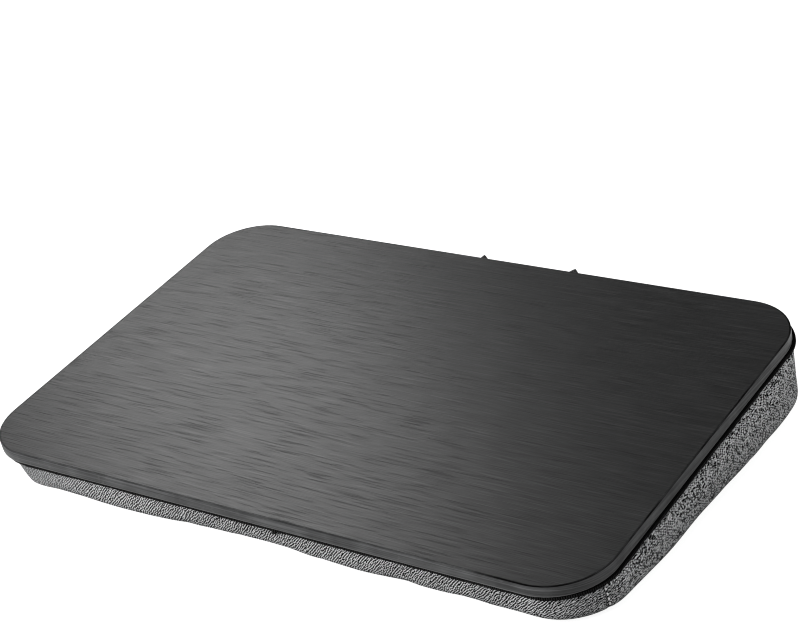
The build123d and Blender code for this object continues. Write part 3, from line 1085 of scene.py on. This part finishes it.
def build_cushion():
    swell = 0.0
    rings, top_count, side_count = cushion_rings(swell)
    verts, faces, uvs, kinds = lattice(rings, top_count, side_count)
    count = len(rings)
    obj = mesh_object("cushion_cover", verts, faces)
    level = np.repeat(np.arange(count), N)
    station = np.tile(np.arange(N), count)
    kind = outline.kind[station]
    x = verts[:, 0]
    z = verts[:, 2]
    pins = np.zeros(len(verts))
    pins[level <= top_count] = 1.0
    pins[level >= top_count + side_count + 5] = 1.0
    zone = (kind == 6) & (np.abs(x) < 0.171) & (z > 0.0055) & (z < 0.0215)
    pins[zone] = 1.0
    before, moved = inflate(obj, pins, 0.0006, 1.5)
    out = before + moved
    # soft unevenness of the bead filling, and small puckers under the seam
    s = outline.s[:-1][station]
    normal = NORMAL[station]
    low = np.zeros(len(out))
    r = np.random.RandomState(3)
    for wave, size in ((3, 0.35), (7, 0.35), (11, 0.3), (19, 0.25), (31, 0.18)):
        low += size * np.sin(2 * np.pi * wave * s / outline.s[-1] + r.rand() * 6.28 + z * 30)
    pucker = np.zeros(len(out))
    for pitch in (0.0123, 0.0171, 0.0237):
        pucker += np.sin(2 * np.pi * s / pitch + r.rand() * 6.28) / 3
    f = np.clip((level - top_count) / (side_count - 1), 0, 1)
    under_seam = np.exp(-(((f - 0.16) / 0.13) ** 2))
    side = (level > top_count) & (level < top_count + side_count)
    hold = np.where(zone, 0.0, 1.0)
    amount = (low * 0.8 * np.sin(np.pi * f) + pucker * 0.45 * under_seam) * side * hold * MM
    out[:, :2] += normal * amount[:, None]
    # seams: the corner seams and back seams pull in, and so does the bottom one
    bottom = top_count + side_count - 2
    for place in seam_stations():
        line = (station == place) & side
        out[line, :2] -= normal[line] * 0.0009
    line = level == bottom
    out[line, :2] -= normal[line] * 0.0007
    line = level == bottom - 1
    out[line, :2] += normal[line] * 0.0002
    # it rests on the ground
    out[:, 2] = np.maximum(out[:, 2], 0.0)
    out[level >= top_count + side_count + 2, 2] = 0.0
    obj.data.vertices.foreach_set("co", out.astype(np.float32).ravel())
    uv = obj.data.uv_layers.new(name="weave")
    flat = np.array([c for face in uvs for c in face], np.float32)
    uv.data.foreach_set("uv", flat.ravel())
    obj.data.materials.append(M_HEATHER)
    obj.data.materials.append(M_LINING)
    obj.data.polygons.foreach_set("material_index", kinds)
    obj.data.update()
    smooth = obj.modifiers.new("smooth", "SUBSURF")
    smooth.levels = smooth.render_levels = 1
    dg = bpy.context.evaluated_depsgraph_get()
    final = bpy.data.meshes.new_from_object(
        obj.evaluated_get(dg), preserve_all_data_layers=True, depsgraph=dg
    )
    obj.modifiers.clear()
    old = obj.data
    obj.data = final
    bpy.data.meshes.remove(old)
    final.name = "cushion_cover"
    return obj


def seam_stations():
    found = []
    for x, y in (
        (-1, -1),
        (1, -1),
    ):
        angle = math.asin((CORNER - 0.026) / CORNER)
        px = CX + x * (HALF_W - CORNER + CORNER * math.cos(angle))
        py = CY + y * (PLAN_D - 0.026)
        found.append(outline.near(px, py))
    for x in (0.165, -0.165):
        found.append(outline.near(x, CY + PLAN_D))
    return found


def cut_zip_slot(obj):
    """Opens the back wall for the zip and folds its edges in."""
    mesh = obj.data
    bm = bmesh.new()
    bm.from_mesh(mesh)
    lo, hi = ZIP_Z - 0.005, ZIP_Z + 0.005
    gone = [
        f
        for f in bm.faces
        if (c := f.calc_center_median()).y > BACK_WALL - 0.0034
        and lo < c.z < hi
        and abs(c.x) < 0.1636
    ]
    bmesh.ops.delete(bm, geom=gone, context="FACES")
    edges = [e for e in bm.edges if e.is_boundary]
    for inward, depth in ((0.00035, 0.00025), (0.00022, 0.0006), (0.0, 0.0021)):
        made = bmesh.ops.extrude_edge_only(bm, edges=edges)["geom"]
        edges = [g for g in made if isinstance(g, bmesh.types.BMEdge)]
        for v in [g for g in made if isinstance(g, bmesh.types.BMVert)]:
            v.co.y -= depth
            if abs(v.co.z - ZIP_Z) > 0.0037:
                v.co.z += inward if v.co.z < ZIP_Z else -inward
            if abs(v.co.x) > 0.163:
                v.co.x += inward if v.co.x < 0 else -inward
    bmesh.ops.recalc_face_normals(bm, faces=bm.faces)
    for f in bm.faces:
        f.smooth = True
    bm.to_mesh(mesh)
    bm.free()
    mesh.update()


cushion = build_cushion()
cut_zip_slot(cushion)
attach(cushion, "tray")
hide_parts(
    "gusset_front",
    "gusset_left",
    "gusset_right",
    "gusset_back_upper",
    "gusset_back_lower",
    "bottom_panel",
    "top_panel",
    "inner_bag",
    "bead_filling",
)

# -------------------------------------------------- the seam's black binding
RIB = 0.00135


def build_binding():
    inset = 0.0019
    a, b, r = HALF_W - inset, HALF_D - inset, CORNER - inset
    per_rib = 6
    length = 4 * (a - r) + 4 * (b - r) + 2 * math.pi * r
    ribs = int(round(length / RIB))
    n = ribs * per_rib
    pitch = length / ribs
    join = board_join_arc(a, b, r)
    profile = []
    hw, hh, er, m = 0.00190, 0.00205, 0.0010, 3
    for cx, cz, start in ((1, 1, 0), (-1, 1, 90), (-1, -1, 180), (1, -1, 270)):
        for q in range(m):
            t = math.radians(start + 90 * q / (m - 1))
            profile.append(
                (cx * (hw - er) + er * math.cos(t), cz * (hh - er) + er * math.sin(t))
            )
    verts, uv_u = [], []
    noise = random.Random(11)
    size = [0.75 + 0.5 * noise.random() for _ in range(ribs)]
    lean = [noise.uniform(-0.12, 0.12) for _ in range(ribs)]
    for k in range(n):
        s = k / n * length
        x, y, nx, ny = round_rect(s, a, b, r)
        rib, phase = divmod(k, per_rib)
        wave = math.sin(math.pi * (phase + 0.5) / per_rib)
        lift = 0.00024 * size[rib] * (wave - 0.35)
        slack = 0.00012 * math.sin(2 * math.pi * s / 0.083) + 0.00008 * math.sin(
            2 * math.pi * s / 0.031 + 1
        )
        near = max(0.0, 1 - (abs(s - join) / 0.0023) ** 2)
        slim = 1 - 0.24 * min(1.0, max(0.0, (nx - 0.3) / 0.6))
        for px, pz in profile:
            o = px + (lift if px > 0 else lift * 0.3) + slack
            z = (pz * (1 + lift / 0.002 * 0.5) - 0.00212) * slim
            if pz < 0:
                z -= near * 0.0016 + slack * 0.6
                o += near * 0.0009
            verts.append(
                board_point(
                    SHIFT_X + x + nx * o + lean[rib] * 0.0006 * pz / hh * -ny,
                    SHIFT_Y + y + ny * o + lean[rib] * 0.0006 * pz / hh * nx,
                    z,
                )
            )
    c = len(profile)
    faces, uvs = [], []
    for k in range(n):
        for q in range(c):
            w = (q + 1) % c
            k2 = (k + 1) % n
            faces.append((k * c + q, k2 * c + q, k2 * c + w, k * c + w))
            u0, u1 = k / per_rib, (k + 1) / per_rib
            uvs.append(((u0, q), (u1, q), (u1, q + 1), (u0, q + 1)))
    obj = mesh_object("seam_binding", verts, faces)
    layer = obj.data.uv_layers.new(name="wrap")
    layer.data.foreach_set("uv", np.array(uvs, np.float32).ravel())
    obj.data.polygons.foreach_set("use_smooth", [True] * len(faces))
    fix_normals(obj)
    assign(obj, M_BINDING)
    return obj


def round_rect(s, a, b, r):
    """Point and outward normal at arc length s, from the front's left end."""
    w, d, q = 2 * (a - r), 2 * (b - r), math.pi * r / 2
    for kind, size in enumerate((w, q, d, q, w, q, d, q)):
        if s <= size or kind == 7:
            break
        s -= size
    t = s / size
    if kind == 0:
        return -(a - r) + s, -b, 0, -1
    if kind == 2:
        return a, -(b - r) + s, 1, 0
    if kind == 4:
        return (a - r) - s, b, 0, 1
    if kind == 6:
        return -a, (b - r) - s, -1, 0
    start = {1: -90, 3: 0, 5: 90, 7: 180}[kind]
    sx = 1 if kind in (1, 3) else -1
    sy = -1 if kind in (1, 7) else 1
    angle = math.radians(start + 90 * t)
    c, v = math.cos(angle), math.sin(angle)
    return sx * (a - r) + r * c, sy * (b - r) + r * v, c, v


def board_join_arc(a, b, r):
    """Where the binding's two ends meet, at the middle of the front."""
    return (a - r) + 0.0151


binding = build_binding()
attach(binding, "tray")
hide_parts("piping")


# ------------------------------------------------------------------ stitches
def capsule(verts, faces, centre, along, up, length, radius, sides=8):
    """One stitch: a short bowed thread with rounded ends."""
    along, up = along.normalized(), up.normalized()
    across = along.cross(up).normalized()
    up = across.cross(along)
    base = len(verts)
    stops = ((-0.5, 0.0), (-0.46, 0.55), (-0.36, 0.88), (-0.15, 1.0), (0.15, 1.0), (0.36, 0.88), (0.46, 0.55), (0.5, 0.0))
    rings = []
    for t, size in stops:
        bow = (1 - (2 * t) ** 2) * radius * 0.9
        middle = centre + along * (t * length) + up * (bow - radius * 0.35)
        if size == 0.0:
            verts.append(middle)
            rings.append([len(verts) - 1])
            continue
        ring = []
        for q in range(sides):
            angle = 2 * math.pi * q / sides
            verts.append(
                middle
                + across * (math.cos(angle) * radius * size)
                + up * (math.sin(angle) * radius * size)
            )
            ring.append(len(verts) - 1)
        rings.append(ring)
    for one, two in zip(rings, rings[1:]):
        for q in range(sides):
            w = (q + 1) % sides
            if len(one) == 1:
                faces.append((one[0], two[w], two[q]))
            elif len(two) == 1:
                faces.append((one[q], one[w], two[0]))
            else:
                faces.append((one[q], one[w], two[w], two[q]))
    return base


def tree_of(obj):
    mesh = obj.data
    return BVHTree.FromPolygons(
        [v.co for v in mesh.vertices], [tuple(p.vertices) for p in mesh.polygons]
    )


SKIN = tree_of(cushion)


def touch(x, y, z, nx, ny):
    """Where a level ray from outside first meets the cushion."""
    start = Vector((x + nx * 0.03, y + ny * 0.03, z))
    hit, normal, index, distance = SKIN.ray_cast(start, Vector((-nx, -ny, 0)), 0.08)
    return hit, normal


def stitch_line(name, spots, length, radius, material, body="tray"):
    verts, faces = [], []
    for centre, along, up in spots:
        capsule(verts, faces, centre, along, up, length, radius)
    obj = mesh_object(name, verts, faces)
    obj.data.polygons.foreach_set("use_smooth", [True] * len(faces))
    fix_normals(obj)
    assign(obj, material)
    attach(obj, body)
    return obj


def upright_seam(name, place, pitch, length, radius, material, shift=0.0, slant=0.0):
    """Stitches down a vertical seam, just beside its groove."""
    x0, y0 = outline.base[place]
    nx, ny = NORMAL[place]
    tx, ty = -ny, nx
    x0, y0 = x0 + tx * shift, y0 + ty * shift
    top = underside_z(y0) - SEAM_DROP - 0.0006
    spots = []
    z = top - 0.001
    while z > 0.0040:
        x, y = x0 - tx * slant * z / top, y0 - ty * slant * z / top
        a, n1 = touch(x, y, z + length / 2, nx, ny)
        b, n2 = touch(x, y, z - length / 2, nx, ny)
        if a and b:
            spots.append(((a + b) / 2 + (n1 + n2) * 0.00022, a - b, (n1 + n2) / 2))
        z -= pitch
    return stitch_line(name, spots, length, radius, material)


left_seam, right_seam, back_right_seam, back_left_seam = seam_stations()
upright_seam("stitches_front_right", right_seam, 0.0034, 0.0018, 0.00060, M_WHITE, 0.0003, 0.0022)
upright_seam("stitches_front_left", left_seam, 0.0034, 0.0015, 0.00050, M_WHITE)
upright_seam("stitches_back_right", back_right_seam, 0.0026, 0.0020, 0.00024, M_GREY, 0.0016)
upright_seam("stitches_back_left", back_left_seam, 0.0026, 0.0020, 0.00024, M_GREY, -0.0016)

# topstitching along both folded edges of the zip's slot
spots = []
for dz in (-0.0076, 0.0076):
    x = -0.1620
    while x < 0.1625:
        hit, normal = touch(x, BACK_WALL, ZIP_Z + dz, 0, 1)
        if hit:
            spots.append((hit, Vector((1, 0, 0)), normal))
        x += 0.0031
stitch_line("stitches_zip", spots, 0.0023, 0.00024, M_GREY)

# the bottom seam's thread, round the underside
spots = []
tuck_line = outline.table(BULGE) * MM - outline.table(TUCK) * MM - 0.0045
ring = outline.at(tuck_line)
dense = []
for k in range(N):
    p, q = ring[k], ring[(k + 1) % N]
    size = float(np.linalg.norm(q - p))
    dense.append((size, p, q))
total = sum(d[0] for d in dense)
step, walked, target = total / round(total / 0.0036), 0.0, 0.0
for size, p, q in dense:
    while target < walked + size:
        t = (target - walked) / size
        at = p + (q - p) * t
        hit, normal, index, distance = SKIN.ray_cast(
            Vector((at[0], at[1], -0.02)), Vector((0, 0, 1)), 0.05
        )
        if hit:
            spots.append(
                (hit + Vector((0, 0, 0.00032)), Vector((q[0] - p[0], q[1] - p[1], 0)), Vector((0, 0, -1)))
            )
        target += step
    walked += size
stitch_line("stitches_underside", spots, 0.0026, 0.00020, M_GREY)


# -------------------------------------------------------------- carrying strap
def build_strap():
    out = Vector((0, math.cos(DROOP), math.sin(DROOP)))
    flat = Vector((0, -math.sin(DROOP), math.cos(DROOP)))
    side = Vector((1, 0, 0))
    tab = board_dir(0, 1, 0)
    tab_up = board_dir(0, 0, 1)
    reach, turn_r, strap_x, width, thick = 0.025, 0.016, 0.046, 0.0220, 0.0019
    turn_x, turn_y = strap_x - turn_r, reach - turn_r
    path = []  # centre, width direction, thickness direction
    steps = 40
    for k in range(steps):  # sewn-in tab, inside the seam
        d = -0.0165 + 0.0145 * k / steps
        path.append((HINGE + side * strap_x + tab * d, side, tab_up))
    for k in range(14):  # the bend where it leaves the seam
        t = k / 14
        e = t * t * (3 - 2 * t)
        d = tab.lerp(out, e).normalized()
        u = tab_up.lerp(flat, e).normalized()
        path.append((HINGE + side * strap_x + d * (-0.002 + 0.004 * t), side, u))
    for k in range(20):
        d = 0.002 + (turn_y - 0.002) * k / 20
        path.append((HINGE + side * strap_x + out * d, side, flat))
    for k in range(71):
        t = k / 70
        a = math.radians(90) * t
        w = math.radians(90) * (t * 0.35 + 0.65 * t * t * (3 - 2 * t))
        centre = (
            HINGE
            + side * (turn_x + turn_r * math.cos(a))
            + out * (turn_y + turn_r * math.sin(a))
        )
        across = side * math.cos(a) + out * math.sin(a)
        wide = across * math.cos(w) + flat * math.sin(w)
        path.append((centre, wide, flat * math.cos(w) - across * math.sin(w)))
    for k in range(1, 76):
        x = turn_x * (1 - k / 75)
        path.append((HINGE + out * reach + side * x, flat, -out))
    mirrored = []
    for c, w, u in reversed(path[:-1]):
        # a mirrored width direction, kept continuous through the grip
        mirrored.append(
            (
                Vector((-c.x, c.y, c.z)),
                Vector((-w.x, w.y, w.z)),
                Vector((-u.x, u.y, u.z)),
            )
        )
    path += mirrored
    section = []
    hw, ht = width / 2, thick / 2
    inner = [-0.92, -0.8, -0.6, -0.4, -0.2, 0, 0.2, 0.4, 0.6, 0.8, 0.92]
    for q in inner:
        section.append((q * hw, ht * (1.0 if abs(q) < 0.85 else 0.94)))
    section += [(hw * 0.985, ht * 0.72), (hw, 0), (hw * 0.985, -ht * 0.72)]
    for q in reversed(inner):
        section.append((q * hw, -ht * (1.0 if abs(q) < 0.85 else 0.94)))
    section += [(-hw * 0.985, -ht * 0.72), (-hw, 0), (-hw * 0.985, ht * 0.72)]
    c = len(section)
    length, last = 0.0, path[0][0]
    verts, faces, uvs, lengths = [], [], [], []
    around = [0.0]
    for q in range(c):
        p0, p1 = section[q], section[(q + 1) % c]
        around.append(around[-1] + math.hypot(p1[0] - p0[0], p1[1] - p0[1]))
    for k, (centre, wide, up) in enumerate(path):
        length += (centre - last).length
        last = centre
        lengths.append(length)
        pick = 1 + 0.055 * math.sin(2 * math.pi * length / 0.0022)
        # the twist folds the webbing's upper edge into a small pointed corner
        place = min(k, len(path) - 1 - k) - 124
        ear = max(0.0, 1 - abs(place) / (11 if place > 0 else 8)) * 0.0034
        sag = 0.0008 * min(1.0, max(0.0, (place + 2) / 10))
        for a, b in section:
            lift = (ear - sag) * max(0.0, a / hw - 0.15) / 0.85
            verts.append(centre + wide * a + up * (b * pick) + flat * lift)
    m = len(path)
    for k in range(m - 1):
        for q in range(c):
            w = (q + 1) % c
            faces.append((k * c + q, (k + 1) * c + q, (k + 1) * c + w, k * c + w))
            uvs.append(
                (
                    (lengths[k], around[q]),
                    (lengths[k + 1], around[q]),
                    (lengths[k + 1], around[q + 1]),
                    (lengths[k], around[q + 1]),
                )
            )
    flat_uvs = [v for face in uvs for v in face]
    faces.append(tuple(range(c)))
    faces.append(tuple(reversed(range((m - 1) * c, m * c))))
    flat_uvs += [(section[q][0], section[q][1]) for q in range(c)]
    flat_uvs += [(section[q][0], section[q][1]) for q in reversed(range(c))]
    obj = mesh_object("carry_strap_webbing", verts, faces)
    layer = obj.data.uv_layers.new(name="weave")
    layer.data.foreach_set("uv", np.array(flat_uvs, np.float32).ravel())
    obj.data.polygons.foreach_set("use_smooth", [True] * len(faces))
    fix_normals(obj)
    assign(obj, M_WEBBING)
    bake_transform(obj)
    return obj


strap = build_strap()
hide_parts("strap_end_left", "strap_end_right", "carry_strap")

# --------------------------------------------------------------------- studio
floor_mesh = bpy.data.meshes.new("floor")
floor_mesh.from_pydata(
    [(-9, -9, -0.0002), (9, -9, -0.0002), (9, 9, -0.0002), (-9, 9, -0.0002)], [], [(0, 1, 2, 3)]
)
floor = bpy.data.objects.new("floor", floor_mesh)
scene.collection.objects.link(floor)


def floor_material():
    m = bpy.data.materials.new("pale_floor")
    m.use_nodes = True
    t = m.node_tree
    t.nodes.clear()
    out = t.nodes.new("ShaderNodeOutputMaterial")
    diffuse = t.nodes.new("ShaderNodeBsdfDiffuse")
    geometry = t.nodes.new("ShaderNodeNewGeometry")
    diffuse.inputs[0].default_value = (0.26, 0.26, 0.26, 1)
    glow = t.nodes.new("ShaderNodeEmission")
    glow.inputs[0].default_value = (1, 1, 1, 1)
    path = t.nodes.new("ShaderNodeLightPath")
    place = t.nodes.new("ShaderNodeSeparateXYZ")
    behind = t.nodes.new("ShaderNodeMapRange")
    behind.inputs["From Min"].default_value = 0.14
    behind.inputs["From Max"].default_value = 0.24
    either = t.nodes.new("ShaderNodeMath")
    either.operation = "MAXIMUM"
    level = t.nodes.new("ShaderNodeMath")
    level.operation = "MULTIPLY"
    level.inputs[1].default_value = 0.88
    t.links.new(geometry.outputs["Position"], place.inputs[0])
    t.links.new(place.outputs[1], behind.inputs["Value"])
    t.links.new(path.outputs["Is Camera Ray"], either.inputs[0])
    t.links.new(behind.outputs[0], either.inputs[1])
    t.links.new(either.outputs[0], level.inputs[0])
    t.links.new(level.outputs[0], glow.inputs[1])
    front = t.nodes.new("ShaderNodeAddShader")
    clear = t.nodes.new("ShaderNodeBsdfTransparent")
    mix = t.nodes.new("ShaderNodeMixShader")
    # clear from below, and for light that starts in the contact with the tray, so that
    # the underside isn't black when it is looked at
    short = t.nodes.new("ShaderNodeMath")
    through = t.nodes.new("ShaderNodeMath")
    short.operation, through.operation = "LESS_THAN", "MAXIMUM"
    short.inputs[1].default_value = 0.0030
    t.links.new(path.outputs["Ray Length"], short.inputs[0])
    t.links.new(short.outputs[0], through.inputs[0])
    t.links.new(geometry.outputs["Backfacing"], through.inputs[1])
    t.links.new(through.outputs[0], mix.inputs[0])
    t.links.new(diffuse.outputs[0], front.inputs[0])
    t.links.new(glow.outputs[0], front.inputs[1])
    t.links.new(front.outputs[0], mix.inputs[1])
    t.links.new(clear.outputs[0], mix.inputs[2])
    t.links.new(mix.outputs[0], out.inputs[0])
    return m


floor_mesh.materials.append(floor_material())

world = bpy.data.worlds.new("studio")
scene.world = world
world.use_nodes = True
wt = world.node_tree
wt.nodes.clear()
w_out = wt.nodes.new("ShaderNodeOutputWorld")
w_light = wt.nodes.new("ShaderNodeBackground")
w_seen = wt.nodes.new("ShaderNodeBackground")
w_mix = wt.nodes.new("ShaderNodeMixShader")
w_path = wt.nodes.new("ShaderNodeLightPath")
w_coord = wt.nodes.new("ShaderNodeTexCoord")
w_split = wt.nodes.new("ShaderNodeSeparateXYZ")
w_ramp = wt.nodes.new("ShaderNodeValToRGB")
wt.links.new(w_coord.outputs["Generated"], w_split.inputs[0])
wt.links.new(w_split.outputs[2], w_ramp.inputs[0])
ramp = w_ramp.color_ramp
ramp.elements[0].position, ramp.elements[0].color = 0.0, (0.30, 0.30, 0.30, 1)
ramp.elements[1].position, ramp.elements[1].color = 1.0, (0.9, 0.9, 0.9, 1)
for position, value in ((0.45, 0.13), (0.67, 0.11), (0.85, 0.44)):
    element = ramp.elements.new(position)
    element.color = (value, value, value, 1)
wt.links.new(w_ramp.outputs[0], w_light.inputs[0])
w_light.inputs[1].default_value = 1.25
w_seen.inputs[0].default_value = (1, 1, 1, 1)
w_seen.inputs[1].default_value = 1.0
wt.links.new(w_path.outputs["Is Camera Ray"], w_mix.inputs[0])
wt.links.new(w_light.outputs[0], w_mix.inputs[1])
wt.links.new(w_seen.outputs[0], w_mix.inputs[2])
wt.links.new(w_mix.outputs[0], w_out.inputs[0])


def soft_light(name, heading, elevation, distance, width, height, power):
    """A softbox at a compass heading (from +X, anticlockwise), aimed at the tray."""
    h, e = math.radians(heading), math.radians(elevation)
    spot = Vector(
        (
            math.cos(h) * math.cos(e) * distance,
            math.sin(h) * math.cos(e) * distance,
            math.sin(e) * distance,
        )
    )
    data = bpy.data.lights.new(name, "AREA")
    data.shape = "RECTANGLE"
    data.size, data.size_y = width, height
    data.energy = power
    obj = bpy.data.objects.new(name, data)
    scene.collection.objects.link(obj)
    obj.location = spot
    obj.rotation_euler = (Vector((0, 0, 0.02)) - spot).to_track_quat("-Z", "Y").to_euler()
    return obj


soft_light("softbox_back_left", 142.5, 37.5, 3.0, 0.75, 0.65, 10.5)
# the three fill lights leave no bright patch of their own in the dark board
for fill in (
    soft_light("softbox_left", 205, 38, 2.2, 1.4, 1.2, 28),
    soft_light("softbox_front", 239, 28, 2.4, 1.6, 1.0, 56),
    soft_light("softbox_right", 42, 28, 2.4, 1.3, 1.0, 27),
):
    fill.visible_glossy = False

scene.cycles.filter_width = 1.1
scene.view_settings.view_transform = "Standard"
scene.view_settings.look = "None"
